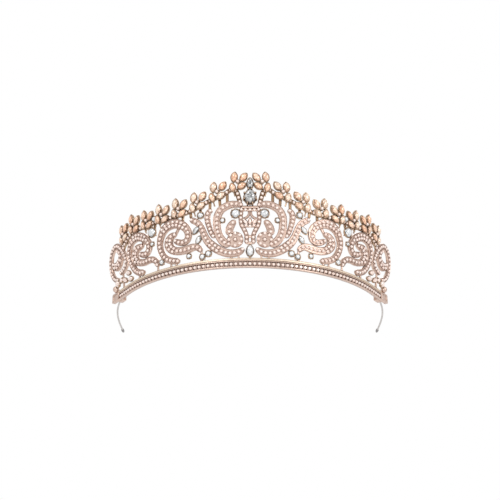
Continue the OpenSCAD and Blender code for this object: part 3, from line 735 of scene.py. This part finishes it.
def crystal(name, deep, mid, light, tint, shine, lean_most=0.5):
    """Foil-backed crystal: each facet's colour is its painted glint, and each stone leans to its own tint.
    """
    mat, nodes, links, bsdf = new_material(name)
    # The painted glint of each facet picks its colour from deep through middle to light.
    glint = nodes.new("ShaderNodeAttribute")
    glint.attribute_name = "glint"
    lit = ramp(nodes, links, glint.outputs["Fac"], [(0.08, deep), (0.45, mid), (0.9, light)])
    own = nodes.new("ShaderNodeAttribute")
    own.attribute_name = "tint"
    lean = nodes.new("ShaderNodeMapRange")
    lean.inputs["To Max"].default_value = lean_most
    links.new(own.outputs["Fac"], lean.inputs["Value"])
    mix = nodes.new("ShaderNodeMix")
    mix.data_type = "RGBA"
    mix.blend_type = "MULTIPLY"
    links.new(lean.outputs["Result"], mix.inputs["Factor"])
    links.new(lit, mix.inputs[6])
    mix.inputs[7].default_value = (*tint, 1)
    links.new(mix.outputs[2], bsdf.inputs["Base Color"])
    bsdf.inputs["Metallic"].default_value = shine
    coords = nodes.new("ShaderNodeTexCoord").outputs["Object"]
    rough = nodes.new("ShaderNodeMapRange")
    rough.inputs["To Min"].default_value = 0.03
    rough.inputs["To Max"].default_value = 0.14
    links.new(noise(nodes, links, coords, 1800), rough.inputs["Value"])
    links.new(rough.outputs["Result"], bsdf.inputs["Roughness"])
    bsdf.inputs["IOR"].default_value = 1.7
    bsdf.inputs["Coat Weight"].default_value = 1.0
    bsdf.inputs["Coat Roughness"].default_value = 0.02
    return mat


# Each metal has the colour of its painted shade in corners, its two surface tones, its roughness
# and the depth of its dents.
ROSE = metal("rose_metal_polished", (0.16, 0.095, 0.075), (0.54, 0.385, 0.31), (0.73, 0.57, 0.48), 0.24)
# The recess copies go on the floors of channels and cups and on the band's dividers. They are rougher and
# darker, which is painted shade: the rose one is darker only a little at its light end, the gold one all
# through.
ROSE_RECESS_SHADED = metal("rose_metal_recess", (0.3, 0.19, 0.15), (0.54, 0.39, 0.32), (0.68, 0.53, 0.45), 0.38)
GOLD = metal("gold_metal_polished", (0.08, 0.042, 0.026), (0.36, 0.24, 0.155), (0.53, 0.385, 0.27), 0.24)
GOLD_RECESS_SHADED = metal("gold_metal_recess", (0.08, 0.04, 0.02), (0.28, 0.17, 0.095), (0.4, 0.26, 0.16), 0.38)
RAIL = metal("band_rail_satin", (0.26, 0.17, 0.12), (0.68, 0.54, 0.41), (0.82, 0.69, 0.55), 0.42)
WINDOW = metal("cap_window_satin", (0.34, 0.23, 0.18), (0.78, 0.63, 0.54), (0.9, 0.78, 0.7), 0.42)
STEEL = metal("wire_metal_polished", (0.3, 0.27, 0.25), (0.5, 0.47, 0.44), (0.66, 0.63, 0.6), 0.26, 0.12)
SLEEVE = metal(
    "sleeve_metal_satin", (0.1, 0.095, 0.095), (0.26, 0.25, 0.25), (0.38, 0.37, 0.37), 0.36, 0.12
)
# Each crystal has the colours of its deep, middle and light facets, which are painted glints and
# reflections over its own colour, the tint that its stones lean to, and how metallic its foil back
# looks. Leaves lean further to their tint than the other stones.
PINK = crystal(
    "pink_crystal_cut", (0.58, 0.42, 0.36), (0.78, 0.63, 0.56), (0.87, 0.76, 0.69), (1, 0.83, 0.76), 0.12
)
AMBER = crystal(
    "amber_crystal_cut", (0.12, 0.05, 0.025), (0.55, 0.36, 0.24), (0.92, 0.77, 0.62), (1, 0.62, 0.4),
    0.2, 0.75
)
CLEAR = crystal(
    "clear_crystal_cut", (0.06, 0.062, 0.062), (0.3, 0.305, 0.3), (0.78, 0.79, 0.78), (0.92, 0.96, 1), 0.3
)
# A darker copy of the clear crystal for the large stones in the middle: its greys and blacks are painted
# reflections.
CLEAR_DARKER = crystal(
    "grey_crystal_cut", (0.008, 0.008, 0.008), (0.12, 0.12, 0.115), (0.7, 0.7, 0.68), (0.9, 0.95, 1), 0.4
)

ROSE_SET = [ROSE, ROSE_RECESS_SHADED]
GOLD_SET = [GOLD, GOLD_RECESS_SHADED]

# ---------- the band ----------


def make_band():
    """The channel with its crystals and dividers, and the rail on top of it."""
    channel = Shape()
    c = 0.15
    lip = [
        (BAND_LIP - 0.25, 0), (BAND_LIP - 0.06, 0.06), (BAND_LIP, 0.22), (BAND_LIP - 0.02, 0.44),
        (BAND_LIP - 0.14, LIP_H - 0.02), (BAND_LIP - 0.34, LIP_H), (BAND_FLOOR + c, LIP_H + 0.02),
        (BAND_FLOOR, LIP_H + c),
    ]
    profile = [(BAND_BACK + c, 0), *lip]
    profile += [(r, CHANNEL_H - z) for r, z in reversed(lip)]
    profile += [(BAND_BACK + c, CHANNEL_H), (BAND_BACK, CHANNEL_H - c), (BAND_BACK, c)]
    along_band(channel, profile, recess=(8,))
    rail = Shape()
    back, front = BAND_BACK + 0.3, BAND_LIP + 0.3
    along_band(rail, [
        (back, CHANNEL_H), (front - 0.2, CHANNEL_H), (front - 0.05, CHANNEL_H + 0.08),
        (front, CHANNEL_H + 0.3), (front, FOOT_H - 0.45), (front - 0.08, FOOT_H - 0.2),
        (front - 0.25, FOOT_H - 0.05), (front - 0.5, FOOT_H), (back + 0.3, FOOT_H),
        (back + 0.08, FOOT_H - 0.07), (back, FOOT_H - 0.25),
    ])
    span = 2 * (BAND_S - BAND_CRYSTAL_INSET)
    step = span / (BAND_CRYSTALS - 1)
    stones, bars = Shape(), Shape()
    floor = BAND_FLOOR - BAND_R
    for i in range(BAND_CRYSTALS):
        s = -span / 2 + i * step
        place = at_panel(s, CHANNEL_H / 2, floor, 0)
        cut(stones, round_outline(BAND_CRYSTAL_R), 1.05, place, n=8)
        if i == BAND_CRYSTALS - 1:
            continue
        place = at_panel(s + step / 2, CHANNEL_H / 2, floor, 0)
        half, top = DIVIDER_W / 2, CHANNEL_H / 2 - LIP_H
        rings = [
            [(-k, -top, z), (k, -top, z), (k, top, z), (-k, top, z)]
            for k, z in ((half, 0), (half, 0.68), (0.6 * half, 0.8))
        ]
        bars.add(*skin(rings), place, soft=False)
        for y in (-top - 0.02, top + 0.02):
            bead(bars, place, 0, y, 0.88, 0.26)
    channel.piece("band_channel_shell", ROSE_SET, "rose_metal", ["band_channel"])
    rail.piece("band_rail_bar", [RAIL], "gold_metal", ["band_rail"])
    stones.piece("band_crystals_cut", [PINK], "pink_crystal", ["band_crystals"])
    # The dividers take the recess copy of the metal, a little darker as painted shade.
    bars.piece("band_dividers_set", [ROSE_RECESS_SHADED], "rose_metal", ["band_dividers"])


def make_ends(side):
    """The blocks that end the band, and the comb wires with their sockets and sleeves."""
    bend = math.radians(BEND_HALF_ANGLE)
    out = Vector((math.sin(bend) * (-1 if side == "left" else 1), -math.cos(bend), 0))
    softened(f"end_cap_{side}_shell", f"end_cap_{side}", 0.22, [ROSE, WINDOW], out)
    softened(f"wire_socket_{side}_shell", f"wire_socket_{side}", 0.4, [ROSE])
    flip = side == "left"
    path = even(WIRE, 1.5)
    wire = Shape()
    points = [(x * MM, (y + WIRE_Y) * MM, SLEEVE_R * MM) for x, y in path]
    tube(wire, points, [WIRE_R * MM] * len(path), sides=16)
    wire.piece(f"comb_wire_{side}_bar", [STEEL], "wire_metal", [f"comb_wire_{side}"], flip)
    sleeve = Shape()
    (x1, y1), (x2, y2) = path[-2], path[-1]
    turn = math.atan2(x2 - x1, y2 - y1)
    place = (
        Matrix.Translation((x2 * MM, (y2 + WIRE_Y) * MM, SLEEVE_R * MM))
        @ Matrix.Rotation(-turn, 4, "Z")
        @ Matrix.Rotation(math.radians(-90), 4, "X")
        @ Matrix.Scale(MM, 4)
    )
    r = SLEEVE_R
    profile = [
        (r - 0.2, 0), (r - 0.04, 0.12), (r, 0.3), (r, 0.6), (r - 0.1, 0.72), (r - 0.1, 0.9),
        (r, 1.02), (r, 0.5 * SLEEVE_L), (r - 0.04, 0.56 * SLEEVE_L), (0.6, 0.72 * SLEEVE_L),
        (0.42, 0.87 * SLEEVE_L), (0.28, 0.96 * SLEEVE_L), (0.1, SLEEVE_L),
    ]
    lathe(sleeve, profile, place)
    sleeve.piece(f"tip_sleeve_{side}_shell", [SLEEVE], "sleeve_metal", [f"tip_sleeve_{side}"], flip)


# ---------- the scrolls ----------


def boss(metal_shape, stones, centre, count=8):
    """A round boss with a raised edge, and a ring of small crystals on it, open where the rib meets it."""
    s, h, r = centre
    profile = [
        (r - 0.2, 0), (r - 0.04, 0.1), (r, 0.3), (r, 1.1), (r - 0.06, 1.32), (r - 0.18, 1.43),
        (r - 0.34, 1.38), (r - 0.42, 1.15),
    ]
    lathe(metal_shape, profile, at_panel(s, h), 32, floor=1)
    place = at_panel(s, h, RIB_DEPTH - SUNK)
    stone_h = 0.8
    cut(stones, round_outline(PAVE_R), stone_h, place, n=6)
    for i in range(count):
        turned = place @ Matrix.Rotation(2 * math.pi * i / count, 4, "Z")
        if i < count - 1:
            outer = turned @ Matrix.Translation((r - PAVE_R - 0.15, 0, 0))
            cut(stones, round_outline(PAVE_R), stone_h, outer, n=6)
        between = place @ Matrix.Rotation(2 * math.pi * (i + 0.5) / count, 4, "Z")
        bead(metal_shape, between, r - 0.5, 0, 0.25, 0.26)
        bead(metal_shape, between, 1.15, 0, 0.25, 0.22)


def make_scrolls(side):
    """The scrolls of one side with their feet and their set crystals."""
    flip = side == "left"
    for group, nodes in SCROLLS:
        stones = Shape()
        for name, ribs, feet in nodes:
            body = Shape()
            for knots, inset in ribs:
                rib(body, knots, RIB_DEPTH if inset else STEM_DEPTH)
            for s, top in feet:
                foot(body, s, top)
            for knots, inset in ribs:
                if inset:
                    pave(body, stones, knots, inset)
            if name == "heart_scroll":
                boss(body, stones, HEART_BOSS)
            body.piece(f"{name}_{side}_metal", ROSE_SET, "rose_metal", [f"{name}_{side}"], flip)
        stones.piece(f"{group}_{side}_cut", [PINK], "pink_crystal", [f"{group}_{side}"], flip)


def make_knob(side):
    """The ball under a wing, with a raised line round its middle."""
    knob = Shape()
    r, steps, pole = 1.8, 14, 0.06
    turns = [math.pi * i / steps for i in range(1, steps)]
    profile = [(pole, -r), *((r * math.sin(a), -r * math.cos(a)) for a in turns), (pole, r)]
    profile = [(k * (1.04 if abs(z) < 0.2 else 1), z) for k, z in profile]
    lathe(knob, profile, at_panel(88.9, FOOT_H + 1.6, 0.9))
    knob.piece(f"wing_knob_{side}_ball", [ROSE], "rose_metal", [f"wing_knob_{side}"], side == "left")


# ---------- the leaves and the accent crystals ----------


def make_leaves(side):
    """The leaf rail with its struts and crystals, and the sprigs of leaves on it."""
    flip = side == "left"
    rail, cups, stones, small = Shape(), Shape(), Shape(), Shape()
    rib(rail, LEAF_RAIL, 1)
    for s1, h1, s2, h2 in STRUTS:
        rib(rail, [(s1, h1, STRUT_W), (s2, h2, STRUT_W)], 0.8, 0.1)
    for s, h, spin, size in leaves():
        place = at_panel(s, h, CUP_BACK, LEAN, spin)
        length, width = size * LEAF_L, size * LEAF_W
        tray(cups, marquise(length, width), cup_levels(LEAF_CUP_H), place, 24)
        tip = -length / 2
        stem = [(0, tip - 1.8, 0.4), (0, tip - 0.6, 0.36), (0, tip + 1, 0.42)]
        tube(cups, stem, [0.42, 0.36, 0.5], place, 8)
        for end in (-1, 1):
            bead(cups, place, 0, end * (length / 2 - 0.55), LEAF_CUP_H + 0.05, 0.34)
        inside = place @ Matrix.Translation((0, 0, LEAF_CUP_H - SUNK))
        cut(stones, marquise(length - LEAF_RIM[0], width - LEAF_RIM[1]), 1.2, inside, 8, POINTED_TABLE)
    pave(rail, small, LEAF_RAIL, 1, 1)
    for i in range(SPRIGS):
        s = FIRST_SPRIG + i * SPRIG_PITCH + BERRY[0]
        place = at_panel(s, crest(s) + BERRY[1], CUP_BACK)
        r = BERRY[2]
        profile = [
            (r + 0.1, 0), (r + 0.3, 0.2), (r + 0.35, LEAF_CUP_H - 0.3), (r + 0.28, LEAF_CUP_H - 0.04),
            (r + 0.14, LEAF_CUP_H), (r, LEAF_CUP_H - 0.15),
        ]
        lathe(cups, profile, place, 16, floor=1)
        cut(small, round_outline(r), 1, place @ Matrix.Translation((0, 0, LEAF_CUP_H - SUNK)), n=6)
    rail.piece(f"leaf_rail_{side}_metal", GOLD_SET, "gold_metal", [f"leaf_rail_{side}"], flip)
    cups.piece(f"leaf_cups_{side}_metal", GOLD_SET, "gold_metal", [f"leaf_cups_{side}"], flip)
    stones.piece(f"leaf_crystals_{side}_cut", [AMBER], "amber_crystal", [f"leaf_crystals_{side}"], flip)
    small.piece(f"rail_crystals_{side}_cut", [PINK], "pink_crystal", [f"leaf_crystals_{side}"], flip)


def round_setting(metal_shape, stones, s, h, r, cup_h):
    """A cup with four claws round a clear crystal."""
    wall = 0.45
    profile = [
        (0.8 * r, 0), (r + 0.2, 0.35 * cup_h), (r + wall, 0.62 * cup_h), (r + wall, cup_h - 0.1),
        (r + wall - 0.1, cup_h), (r + 0.12, cup_h), (r, cup_h - 0.12), (0.96 * r, 0.6 * cup_h),
    ]
    place = at_panel(s, h, SETTING_BACK)
    lathe(metal_shape, profile, place, 24, floor=1)
    for i in range(4):
        a = math.radians(45 + 90 * i)
        x, y = (r + 0.3) * math.cos(a), (r + 0.3) * math.sin(a)
        claw(metal_shape, place, x, y, 0.3, cup_h + 0.45, 0.34 * r, 0.2 + 0.05 * r)
    cut(stones, round_outline(r), 0.5 + 0.5 * r, place @ Matrix.Translation((0, 0, 0.6 * cup_h)), 8)


def make_accents(side):
    """The round and the pointed crystals between the scrolls, in their cups."""
    flip = side == "left"
    cups, clear, pale = Shape(), Shape(), Shape()
    for s, h, r, cup_h in ACCENTS:
        round_setting(cups, pale if s > PALE_FROM else clear, s, h, r, cup_h)
    for s, h, spin in DROPS:
        place = at_panel(s, h, CUP_BACK, LEAN, spin)
        tray(cups, marquise(*DROP_CUP), cup_levels(1), place, 24)
        inside = place @ Matrix.Translation((0, 0, 0.8))
        cut(pale if s > PALE_FROM else clear, marquise(*DROP_CUT), 1.2, inside, 8, POINTED_TABLE)
    cups.piece(f"accent_cups_{side}_metal", GOLD_SET, "gold_metal", [f"accent_cups_{side}"], flip)
    clear.piece(f"accent_crystals_{side}_cut", [CLEAR], "clear_crystal", [f"accent_crystals_{side}"], flip)
    pale.piece(f"pale_crystals_{side}_cut", [PINK], "pink_crystal", [f"accent_crystals_{side}"], flip)


# ---------- the centre ----------


def make_column():
    """The lattice column: ribs, fork, cross bars and fan, with its crystals."""
    column, stones = Shape(), Shape()
    for sign in (1, -1):
        knots = [(sign * s, h, w) for s, h, w in COLUMN]
        rib(column, knots, COLUMN_DEPTH)
        pave(column, stones, knots, 1, COLUMN_DEPTH, COLUMN_CRYSTAL_R, COLUMN_PITCH)
        rib(column, [(sign * s, h, w) for s, h, w in COLUMN_FORK], 1)
        for s, h in BAR_CRYSTALS:
            if sign > 0 or s > 0:
                place = at_panel(sign * s, h, 0.9)
                cut(stones, round_outline(COLUMN_CRYSTAL_R), 0.85, place, n=6)
                for k in range(4):
                    spoke = place @ Matrix.Rotation(math.pi * (0.25 + k / 2), 4, "Z")
                    bead(column, spoke, 0.86, 0, 0.45, 0.2)
        for s, h, turn in FAN_LEAVES:
            if sign > 0 or s > 0:
                place = at_panel(sign * s, h, CUP_BACK, LEAN, sign * turn)
                tray(column, marquise(*FAN_CUP), cup_levels(1), place, 24)
                cut(stones, marquise(*FAN_CUT), 1.05, place @ Matrix.Translation((0, 0, 0.75)), 5)
    for h, length in COLUMN_BARS:
        place = at_panel(0, h, 0.1)
        half = length / 2
        rings = [
            [(x, 0.8 * math.cos(a), 0.5 + 0.5 * math.sin(a)) for a in circle(12)]
            for x in (-half, -half / 3, half / 3, half)
        ]
        column.add(*skin(rings), place)
    column.piece("centre_column_metal", ROSE_SET, "rose_metal", ["centre_column"])
    stones.piece("column_crystals_cut", [PINK], "pink_crystal", ["column_crystals"])


def make_centre():
    """The large pear-shaped crystal with its claws, the smaller one above it and the drop below."""
    cup, claws, stone = Shape(), Shape(), Shape()
    outline = pear(CENTRE_L, CENTRE_W, CENTRE_TAPER)
    place = at_panel(0, CENTRE_H, SETTING_BACK)
    tray(cup, outline, cup_levels(1.6, 0.05), place, 40)
    for i in range(CLAWS):
        x, y = outline((i + 0.5) / CLAWS)
        claw(claws, place, 1.02 * x, 1.02 * y, 0.2, 3.4, 0.9, 0.42)
    inner = pear(CENTRE_L - CENTRE_RIM, CENTRE_W - CENTRE_RIM, CENTRE_TAPER)
    cut(stone, inner, 2.9, place @ Matrix.Translation((0, 0, 1.3)), 12, split=True)
    cup.piece("centre_cup_metal", GOLD_SET, "gold_metal", ["centre_cup"])
    claws.piece("centre_prongs_metal", [GOLD], "gold_metal", ["centre_prongs"])
    stone.piece("centre_crystal_cut", [CLEAR_DARKER], "clear_crystal", ["centre_crystal"])

    cup, stone = Shape(), Shape()
    place = at_panel(0, TOP_CRYSTAL_H, SETTING_BACK)
    tray(cup, pear(*TOP_CUP, PEAR_TAPER), cup_levels(1.1, 0.08), place, 32)
    inside = place @ Matrix.Translation((0, 0, 0.8))
    cut(stone, pear(*TOP_CUT, PEAR_TAPER), 1.8, inside, 8, split=True)
    cup.piece("top_cup_metal", GOLD_SET, "gold_metal", ["top_cup"])
    stone.piece("top_crystal_cut", [CLEAR_DARKER], "clear_crystal", ["top_crystal"])

    cup, stone = Shape(), Shape()
    place = at_panel(0, DROP_CRYSTAL_H, SETTING_BACK)
    tray(cup, pear(*BOTTOM_CUP, PEAR_TAPER), cup_levels(1, 0.08), place, 32)
    tube(cup, [(0, -3.8, 0.3), (0, -3.3, 0.4), (0, -2.6, 0.5)], [0.6, 0.55, 0.65], place, 12)
    cut(stone, pear(*BOTTOM_CUT, PEAR_TAPER), 1.9, place @ Matrix.Translation((0, 0, 0.7)), 8)
    cup.piece("drop_cup_metal", GOLD_SET, "gold_metal", ["drop_cup"])
    stone.piece("drop_crystal_cut", [CLEAR], "clear_crystal", ["drop_crystal"])


make_band()
make_column()
make_centre()
for side in ("left", "right"):
    make_ends(side)
    make_scrolls(side)
    make_knob(side)
    make_leaves(side)
    make_accents(side)

# ---------- floor, light and camera ----------


def make_floor():
    """A wide pale floor, under the camera, which looks up at the tiara."""
    mesh = bpy.data.meshes.new("floor")
    half, z = 6.0, -0.27
    corners = [(-half, -half, z), (half, -half, z), (half, half, z), (-half, half, z)]
    mesh.from_pydata(corners, [], [(0, 1, 2, 3)])
    mat, nodes, links, bsdf = new_material("pale_floor")
    coords = nodes.new("ShaderNodeTexCoord").outputs["Object"]
    tones = [(0.3, (0.9, 0.89, 0.88)), (0.7, (0.93, 0.92, 0.91))]
    links.new(ramp(nodes, links, noise(nodes, links, coords, 3), tones), bsdf.inputs["Base Color"])
    bsdf.inputs["Roughness"].default_value = 0.8
    mesh.materials.append(mat)
    obj = bpy.data.objects.new("floor", mesh)
    bpy.context.scene.collection.objects.link(obj)


def make_light(name, place, size, power):
    """A square soft white light at place that faces the tiara."""
    data = bpy.data.lights.new(name, "AREA")
    data.size = size
    data.energy = power
    obj = bpy.data.objects.new(name, data)
    obj.location = place
    aim = Vector((0, 0, 0.02)) - Vector(place)
    obj.rotation_euler = aim.to_track_quat("-Z", "Y").to_euler()
    bpy.context.scene.collection.objects.link(obj)


def make_world():
    """A soft glow all round, which the camera sees as plain white."""
    world = bpy.data.worlds.new("studio")
    world.use_nodes = True
    nodes, links = world.node_tree.nodes, world.node_tree.links
    glow = nodes["Background"]
    glow.inputs["Color"].default_value = (0.98, 0.98, 1, 1)
    glow.inputs["Strength"].default_value = 0.9
    white = nodes.new("ShaderNodeBackground")
    white.inputs["Color"].default_value = (1, 1, 1, 1)
    white.inputs["Strength"].default_value = 1.0
    seen = nodes.new("ShaderNodeLightPath")
    mix = nodes.new("ShaderNodeMixShader")
    links.new(seen.outputs["Is Camera Ray"], mix.inputs["Fac"])
    links.new(glow.outputs["Background"], mix.inputs[1])
    links.new(white.outputs["Background"], mix.inputs[2])
    links.new(mix.outputs["Shader"], nodes["World Output"].inputs["Surface"])
    bpy.context.scene.world = world


def make_camera():
    """Stands 600 mm from the middle of the band's front, below it, and looks up at about 23 degrees.

    At that distance the picture is 250 mm across.
    """
    front = Vector((0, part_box("band_channel")[0].y, 0))
    distance = 0.6
    rise = math.radians(23)
    aim = math.radians(23.8)
    data = bpy.data.cameras.new("camera")
    data.sensor_width = 36
    data.lens = 86.4
    obj = bpy.data.objects.new("camera", data)
    obj.location = front - distance * Vector((0, math.cos(rise), math.sin(rise)))
    obj.rotation_euler = Vector((0, math.cos(aim), math.sin(aim))).to_track_quat("-Z", "Y").to_euler()
    bpy.context.scene.collection.objects.link(obj)
    bpy.context.scene.camera = obj


make_floor()
make_light("key", (-0.45, -0.7, 0.55), 0.35, 2.1)
make_light("fill", (0.6, -0.6, 0.2), 0.35, 1.5)
make_light("low", (0.0, -0.7, -0.2), 0.3, 0.6)
make_light("back", (0.2, 0.7, 0.6), 0.5, 1.4)
make_world()
make_camera()
bpy.context.scene.view_settings.view_transform = "Standard"
